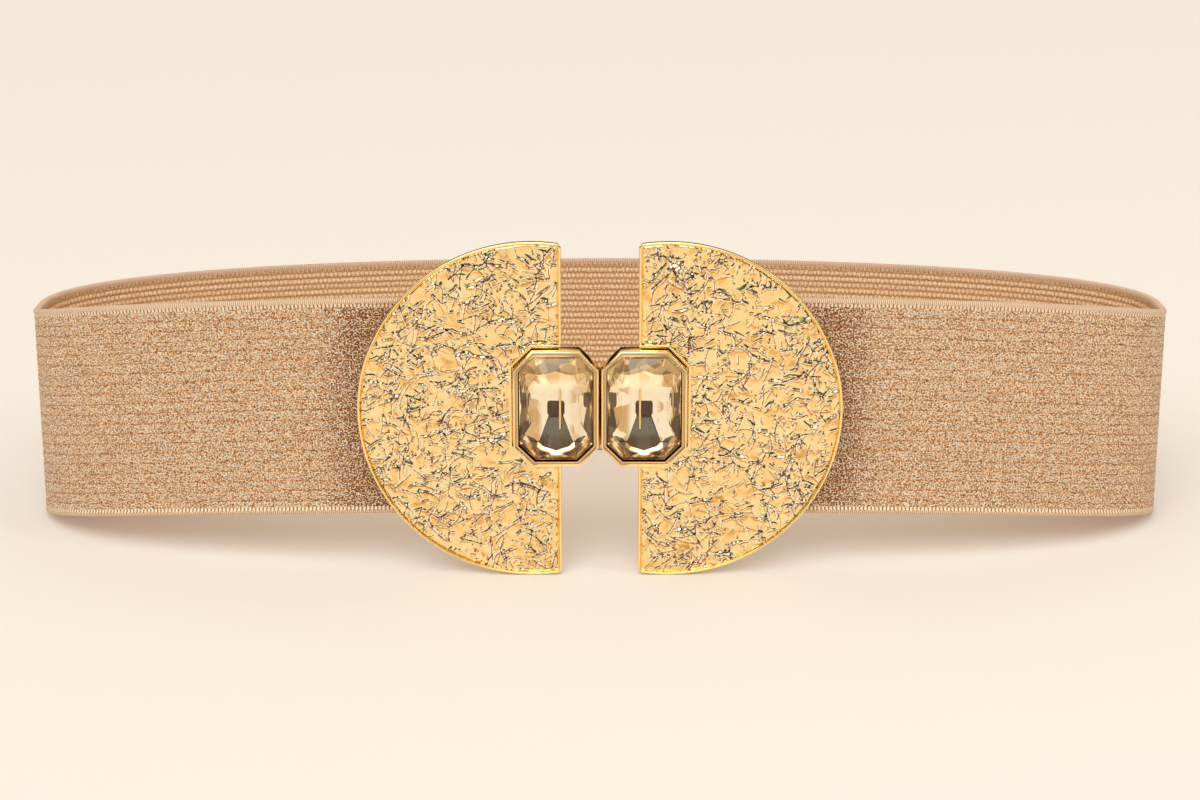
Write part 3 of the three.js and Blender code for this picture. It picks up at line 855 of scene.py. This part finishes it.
def bar_on_lugs(across, depth, diameter, lug, half_height):
    """An upright bar and the two lugs that hold it to the plate's back."""
    inner = half_height + LUG_CLEARANCE
    width = diameter + lug / 2
    root = rim_front + PLATE_DEPTH - LUG_SINK
    parts = []
    bpy.ops.mesh.primitive_cylinder_add(
        vertices=32, radius=diameter / 2, depth=2 * inner + lug, location=(across, depth, PLATE_RADIUS)
    )
    parts.append(bpy.context.object)
    for middle in (PLATE_RADIUS + inner + lug / 2, PLATE_RADIUS - inner - lug / 2):
        bpy.ops.object.select_all(action="DESELECT")
        bpy.ops.mesh.primitive_cube_add(
            size=1, location=(across, (root + depth) / 2, middle), scale=(width, depth - root, lug)
        )
        lug_block = bpy.context.object
        bpy.ops.object.transform_apply(location=True, scale=True)
        bpy.ops.object.mode_set(mode="EDIT")
        bpy.ops.mesh.select_all(action="SELECT")
        bpy.ops.mesh.bevel(offset=LUG_BEVEL, segments=2, affect="EDGES")
        bpy.ops.object.mode_set(mode="OBJECT")
        parts.append(lug_block)
        bpy.ops.mesh.primitive_cylinder_add(
            vertices=32, radius=width / 2, depth=lug, location=(across, depth, middle)
        )
        knuckle = bpy.context.object
        bpy.ops.object.mode_set(mode="EDIT")
        select_faces(knuckle.data, lambda middle, normal: abs(normal.z) > 0.9)
        bpy.ops.mesh.bevel(offset=LUG_BEVEL, segments=2, affect="EDGES")
        bpy.ops.object.mode_set(mode="OBJECT")
        parts.append(knuckle)
    return parts


def joined(parts, name):
    """Joins the parts into the first one, with its origin at the frame's."""
    bpy.ops.object.select_all(action="DESELECT")
    for part in parts:
        part.select_set(True)
    bpy.context.view_layer.objects.active = parts[0]
    bpy.ops.object.join()
    bpy.ops.object.transform_apply(location=True, rotation=True, scale=True)
    bpy.ops.object.shade_smooth_by_angle(angle=math.radians(50))
    made = bpy.context.object
    made.name = name
    return made


def plate_gold():
    """Gold plating with painted light: paler where it tilts up, painted shade in the creases and painted
    highlights on the sharp edges beside them.
    """
    made, shade = new_material("plate gold")
    place = shade.node("TexCoord", output=3)
    relief = shade.node("Attribute", {"attribute_name": "relief"})
    crease_shade = relief.part("X")
    edge = relief.part("Y")
    slope_light = relief.part("Z")
    cloud = shade.node("TexNoise", None, {"Vector": place, "Scale": 160.0, "Detail": 3.0})
    grain = shade.node("TexNoise", None, {"Vector": place, "Scale": 1500.0, "Detail": 2.0})
    # Painted light by slope: paler gold where the face tilts up, deeper where it tilts down, plus a
    # random cloud of tone.
    colour = shade.node(
        "ValToRGB",
        {"stops": [(0.2, PLATING_DEEP_SHADED), (0.45, PLATING), (0.75, PLATING_PALE_LIT)]},
        {0: slope_light + (cloud - 0.5) * 0.3},
    )
    # Painted highlight: the sharp edges beside the folds and pits are painted near white.
    colour = shade.mix(smooth_step(edge, 0.25, 0.8) * 0.95, colour, PLATING_PAINTED_HIGHLIGHT)
    # Painted shade: the creases and the pits are painted dark brown.
    colour = shade.mix(smooth_step(crease_shade, 0.35, 0.9) * 0.95, colour, PLATING_PAINTED_CREASE_SHADE)
    bump = shade.node("Bump", None, {"Strength": 0.2, "Distance": 0.1 * MM, "Height": grain})
    surface = shade.node(
        "BsdfPrincipled",
        None,
        {
            "Base Color": colour,
            "Metallic": 1.0,
            "Roughness": 0.12 + grain * 0.1,
            "Specular Tint": GRAZING_TINT,
            "Normal": bump,
        },
    )
    set_surface(shade, surface)
    return made


to_bar = right_half()[: 2 * LOOP_POINTS + 1]
bar_place = to_bar[-1] + square_to(to_bar, 2 * LOOP_POINTS) * wrap_radius
catch_across = setting_outer + CATCH_REACH
hook_front = rim_front + PLATE_DEPTH + 2 * CLEARANCE + STUD_HEAD
catch_depth = hook_front + CLASP_WALL + CLEARANCE + CATCH_BAR_DIAMETER / 2
gold = plate_gold()
for side, name in ((-1, "left"), (1, "right")):
    relief = face_relief(side)
    parts = [rimmed_plate(side, relief), seat_border(side)]
    parts += bar_on_lugs(side * bar_place.x, bar_place.y, STRAP_BAR_DIAMETER, STRAP_LUG, BAND_WIDTH / 2)
    if side > 0:
        parts += bar_on_lugs(catch_across, catch_depth, CATCH_BAR_DIAMETER, CATCH_LUG, CLASP_HEIGHT / 2)
    plate = joined(parts, name + "_crumpled_plate")
    colour_relief(plate.data, side, relief)
    plate.data.materials.clear()
    plate.data.materials.append(gold)
    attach(plate, "root")
    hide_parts(name + "_plate")


# Clasp
# A strip of brass bent into a hook, riveted behind the left plate by the studs of its setting.
# It passes behind the right plate and hooks on that plate's catch bar, out of sight when worn.
STRIP_DARK = (0.38, 0.15, 0.04, 1)
STRIP_LIGHT = (0.6, 0.3, 0.1, 1)


def strip_gold():
    """Satin dark gold, drawn along the strip."""
    made, shade = new_material("strip gold")
    place = shade.node("TexCoord", output=3)
    drawn = shade.node("Mapping", None, {"Vector": place, "Scale": (60.0, 60.0, 1500.0)})
    grain = shade.node("TexNoise", None, {"Vector": drawn, "Scale": 1.0, "Detail": 3.0})
    colour = shade.mix(grain, STRIP_DARK, STRIP_LIGHT)
    bump = shade.node("Bump", None, {"Strength": 0.3, "Distance": 0.05 * MM, "Height": grain})
    surface = shade.node(
        "BsdfPrincipled",
        None,
        {"Base Color": colour, "Metallic": 1.0, "Roughness": 0.25 + grain * 0.2, "Normal": bump},
    )
    set_surface(shade, surface)
    return made


def finish_node(name, material):
    """Gives a node of the frame its finish."""
    nodes[name].data.materials.clear()
    nodes[name].data.materials.append(material)


finish_node("clasp_hook", strip_gold())

# Settings
# Two stepped octagonal cups, cast and mirror-polished, each held to its plate by two riveted studs.
# From outside in, the mouth has a rounded bead, a deep groove and a thin lip, inside which the
# stone is glued.
SETTING_FRONT = 2.8 * MM
STUD_DIAMETER = 3 * MM
STUD_HEAD_DIAMETER = 5 * MM
STUD_SPACING = 12 * MM
STUD_SINK = 0.3 * MM  # into the cup's floor
STUD_SHORT = 0.2 * MM  # of the top of its head
STUD_BEVEL = 0.6 * MM
BEAD_DROP = 0.3 * MM  # from the top of the bead to the outer wall's edge
BEAD_WIDTH = 0.56 * MM
LIP_INSET = 1.15 * MM
# Painted shade in the cup's hollows: the groove takes this share of it, the inside all of it.
GROOVE_SHADE_SHARE = 0.45  # share of the darkness inside the cup
GROOVE_SHADE = 0.25 * MM  # depth below the bead from which the hollows are dark

POLISH_DEEP = (1.0, 0.71, 0.34, 1)
POLISH_PALE = (1.0, 0.83, 0.49, 1)
HOLLOW_PAINTED_SHADE = (0.07, 0.025, 0.006, 1)

# Steps in and up from the edge of the outer wall to the cup's floor
MOUTH_STEPS = (
    (0.05 * MM, 0.15 * MM),
    (0.1 * MM, 0.1 * MM),
    (0.15 * MM, 0.05 * MM),
    (0.12 * MM, 0),
    (0.12 * MM, -0.1 * MM),
    (0.06 * MM, -0.5 * MM),
    (0.42 * MM, 0),
    (0.05 * MM, 0.3 * MM),
    (0.08 * MM, 0.08 * MM),
    (0.12 * MM, 0),
    (0.06 * MM, -0.1 * MM),
    (0.04 * MM, -3 * MM),
)


def cup(side):
    """The octagonal cup with its stepped mouth."""
    back = seat_floor - CLEARANCE
    block = octagon_block(side, 0, rim_front - SETTING_FRONT + BEAD_DROP, back)
    bpy.ops.object.mode_set(mode="EDIT")
    select_faces(block.data, lambda middle, normal: normal.y < -0.9)
    for inward, rise in MOUTH_STEPS:
        bpy.ops.mesh.inset(thickness=inward, depth=rise)
    bpy.ops.object.mode_set(mode="OBJECT")
    return block


def studs(side):
    """The two riveted studs that hold a cup."""
    across = side * (PLATE_GAP / 2 + setting_outer) / 2
    head_front = rim_front + PLATE_DEPTH + CLEARANCE
    if side < 0:
        head_front += CLASP_WALL + CLEARANCE
    start = seat_floor - CLEARANCE - STUD_SINK
    end = head_front + STUD_HEAD - STUD_SHORT
    made = []
    for up in (setting_level - STUD_SPACING / 2, setting_level + STUD_SPACING / 2):
        bpy.ops.mesh.primitive_cylinder_add(
            vertices=32,
            radius=STUD_DIAMETER / 2,
            depth=end - start,
            location=(across, (start + end) / 2, up),
            rotation=(math.pi / 2, 0, 0),
        )
        made.append(bpy.context.object)
        bpy.ops.mesh.primitive_cylinder_add(
            vertices=32,
            radius=STUD_HEAD_DIAMETER / 2,
            depth=STUD_HEAD,
            location=(across, head_front + STUD_HEAD / 2, up),
            rotation=(math.pi / 2, 0, 0),
        )
        head = bpy.context.object
        bpy.ops.object.transform_apply(location=True, rotation=True)
        bpy.ops.object.mode_set(mode="EDIT")
        select_faces(head.data, lambda middle, normal: normal.y > 0.9)
        bpy.ops.mesh.bevel(offset=STUD_BEVEL, segments=4, affect="EDGES")
        bpy.ops.object.mode_set(mode="OBJECT")
        made.append(head)
    return made


def mark_hollows(mesh, side):
    """Stores which points lie in the groove or inside the cup, where little light comes in, for the
    painted shade there.
    """
    stored = mesh.color_attributes.new(name="hollow", type="FLOAT_COLOR", domain="POINT").data
    for vertex, mark in zip(mesh.vertices, stored):
        across = side * vertex.co.x - setting_centre
        within = in_octagon(across, vertex.co.z - PLATE_RADIUS, -BEAD_WIDTH)
        deep = rim_front - SETTING_FRONT + GROOVE_SHADE < vertex.co.y < seat_floor - CLEARANCE - 0.1 * MM
        inner = in_octagon(across, vertex.co.z - PLATE_RADIUS, -LIP_INSET)
        dark = (1 if inner else GROOVE_SHADE_SHARE) if within and deep else 0
        mark.color = (dark, dark, dark, 1)


def setting_gold():
    """Mirror-polished gold with faint polishing waves, with painted shade that makes it nearly black in
    the groove.
    """
    made, shade = new_material("setting gold")
    place = shade.node("TexCoord", output=3)
    hollow = shade.node("Attribute", {"attribute_name": "hollow"}, None, 2)
    wave = shade.node("TexNoise", None, {"Vector": place, "Scale": 260.0, "Detail": 2.0})
    colour = shade.mix(wave, POLISH_DEEP, POLISH_PALE)
    # Painted shade: the groove and the inside of the cup are painted nearly black.
    colour = shade.mix(smooth_step(hollow, 0.2, 0.7), colour, HOLLOW_PAINTED_SHADE)
    bump = shade.node("Bump", None, {"Strength": 0.15, "Distance": 0.1 * MM, "Height": wave})
    surface = shade.node(
        "BsdfPrincipled",
        None,
        {
            "Base Color": colour,
            "Metallic": 1.0,
            "Roughness": 0.06 + wave * 0.06,
            "Specular Tint": GRAZING_TINT,
            "Normal": bump,
        },
    )
    set_surface(shade, surface)
    return made


polished = setting_gold()
for side, name in ((-1, "left"), (1, "right")):
    made = joined([cup(side)] + studs(side), name + "_stepped_cup")
    mark_hollows(made.data, side)
    made.data.materials.clear()
    made.data.materials.append(polished)
    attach(made, "root")
    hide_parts(name + "_setting")

# Stones
# Octagonal champagne crystals with a table and a faceted crown, foiled on the pavilion so that
# the back facets mirror the light that comes in through the front.
GIRDLE_DEPTH = 1.3 * MM  # behind the mouth of the cup, where the foil begins
FOIL_EDGE = 0.02 * MM  # half the width in which glass gives way to foil
GLASS_CLEAR = (1.0, 0.97, 0.9, 1)
GLASS_TINTED = (1.0, 0.94, 0.82, 1)
FOIL_PALE = (1.0, 0.93, 0.78, 1)
FOIL_AMBER_PAINTED_REFLECTION = (0.66, 0.43, 0.2, 1)
FOIL_PAINTED_GLOW = (0.95, 0.6, 0.26, 1)
BLACK = (0.0, 0.0, 0.0, 1)


def foiled_crystal():
    """Clear tinted glass in front, and behind the girdle a bright foil with a painted glow towards its
    sides and top, and painted reflections amber in patches at its edge.
    """
    made, shade = new_material("foiled crystal")
    place = shade.node("TexCoord", output=3)
    start = rim_front - SETTING_FRONT + GIRDLE_DEPTH
    foil_mask = smooth_step(place.part("Y"), start - FOIL_EDGE, start + FOIL_EDGE)
    tint = shade.node("TexNoise", None, {"Vector": place, "Scale": 120.0, "Detail": 1.0})
    glass_colour = shade.mix(tint, GLASS_CLEAR, GLASS_TINTED)
    glass = shade.node(
        "BsdfPrincipled",
        None,
        {"Base Color": glass_colour, "Roughness": 0.0, "IOR": 1.55, "Transmission Weight": 1.0},
    )
    beside = (place.part("X").math("ABSOLUTE") - setting_centre).math("ABSOLUTE")
    above = place.part("Z") - setting_level
    patch = shade.node("TexVoronoi", {"feature": "F1"}, {"Vector": place, "Scale": 300.0}, 1)
    bright = patch.part("X")
    # Painted glow: the foil gives off light towards its sides and top, in patches, though it is no lamp.
    painted_glow = smooth_step(beside, 4.5 * MM, 9 * MM) * 0.2
    painted_glow = painted_glow.math("MAXIMUM", painted_glow, smooth_step(above, 4 * MM, 10 * MM))
    painted_glow = painted_glow * (smooth_step(bright, 0.1, 0.8) * 0.55 + 0.45)
    # Painted reflection: the foil's outer patches are tinted amber, standing in for facet reflections.
    outer = smooth_step(beside, 3 * MM, 5 * MM)
    outer = outer.math("MAXIMUM", outer, smooth_step(above.math("ABSOLUTE"), 6 * MM, 9 * MM))
    foil_colour = shade.mix(outer * (1 - smooth_step(bright, 0.2, 0.9)), FOIL_PALE, FOIL_AMBER_PAINTED_REFLECTION)
    foil = shade.node(
        "BsdfPrincipled",
        None,
        {
            "Base Color": foil_colour,
            "Metallic": 1.0,
            "Roughness": 0.02,
            "Emission Color": shade.mix(painted_glow, BLACK, FOIL_PAINTED_GLOW),
            "Emission Strength": 0.65,
        },
    )
    set_surface(shade, shade.node("MixShader", None, {0: foil_mask, 1: glass, 2: foil}))
    return made


crystal = foiled_crystal()
finish_node("left_stone", crystal)
finish_node("right_stone", crystal)

# Sewing thread
# Two rows of machine stitches in pale thread, through each folded tail and the band behind it.
# They are sewn once the band is round its strap bars.
STITCH_ROWS = (11.5 * MM, 13.7 * MM)  # from the strap bar, along the tail
STITCH_PITCH = 3 * MM
STITCH_LENGTH = 2.6 * MM
STITCH_DIP = 0.25 * MM  # of the ends into the cloth
STITCH_MARGIN = 3 * MM  # from an edge of the band
THREAD_DIAMETER = 0.7 * MM
THREAD_DARK = (0.8, 0.58, 0.36, 1)
THREAD_LIGHT = (1.0, 0.87, 0.68, 1)
TWIST = math.radians(35)


def tail_place(row):
    """A place on the right tail's inner face, at its foot, and the way out of the face."""
    line = right_half()
    i = 2 * LOOP_POINTS
    length = 0
    while length < row:
        length += (line[i] - line[i - 1]).length
        i -= 1
    inward = square_to(line, i)
    return line[i] + inward * (SELVAGE_WALL + TAIL_GAP + BAND_WALL / 2), inward


def one_stitch():
    """A plump thread, upright, whose ends dip into the cloth."""
    bpy.ops.object.select_all(action="DESELECT")
    bpy.ops.mesh.primitive_uv_sphere_add(segments=8, ring_count=10, radius=THREAD_DIAMETER / 2)
    stitch = bpy.context.object
    for vertex in stitch.data.vertices:
        share = vertex.co.z / (THREAD_DIAMETER / 2)
        vertex.co.z = share * STITCH_LENGTH / 2
        vertex.co.y -= STITCH_DIP * share * share
    return stitch


def spun_thread():
    """Pale thread with its slanting twist."""
    made, shade = new_material("spun thread")
    place = shade.node("TexCoord", output=3)
    slanted = shade.node("Mapping", None, {"Vector": place, "Rotation": (0.0, TWIST, 0.0)})
    ply = shade.node(
        "TexWave",
        {"bands_direction": "Z"},
        {"Vector": slanted, "Scale": 900.0, "Distortion": 1.0, "Detail": 1.0},
        1,
    )
    colour = shade.mix(ply, THREAD_DARK, THREAD_LIGHT)
    bump = shade.node("Bump", None, {"Strength": 0.5, "Distance": 0.08 * MM, "Height": ply})
    surface = shade.node(
        "BsdfPrincipled",
        None,
        {"Base Color": colour, "Roughness": 0.8 - ply * 0.2, "Normal": bump},
    )
    set_surface(shade, surface)
    return made


thread = spun_thread()
for side, name in ((-1, "left"), (1, "right")):
    first = one_stitch()
    row_length = BAND_WIDTH - 2 * STITCH_MARGIN
    sewn = []
    for row in STITCH_ROWS:
        foot, inward = tail_place(row)
        for i in range(round(row_length / STITCH_PITCH)):
            stitch = first.copy()
            stitch.data = first.data.copy()
            bpy.context.collection.objects.link(stitch)
            up = foot.z + STITCH_MARGIN + STITCH_PITCH * (i + 0.5)
            stitch.location = (side * foot.x, foot.y, up)
            stitch.rotation_euler.z = side * math.atan2(-inward.x, inward.y)
            sewn.append(stitch)
    bpy.data.objects.remove(first)
    made = joined(sewn, name + "_tail_stitches")
    made.data.materials.clear()
    made.data.materials.append(thread)
    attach(made, "root")
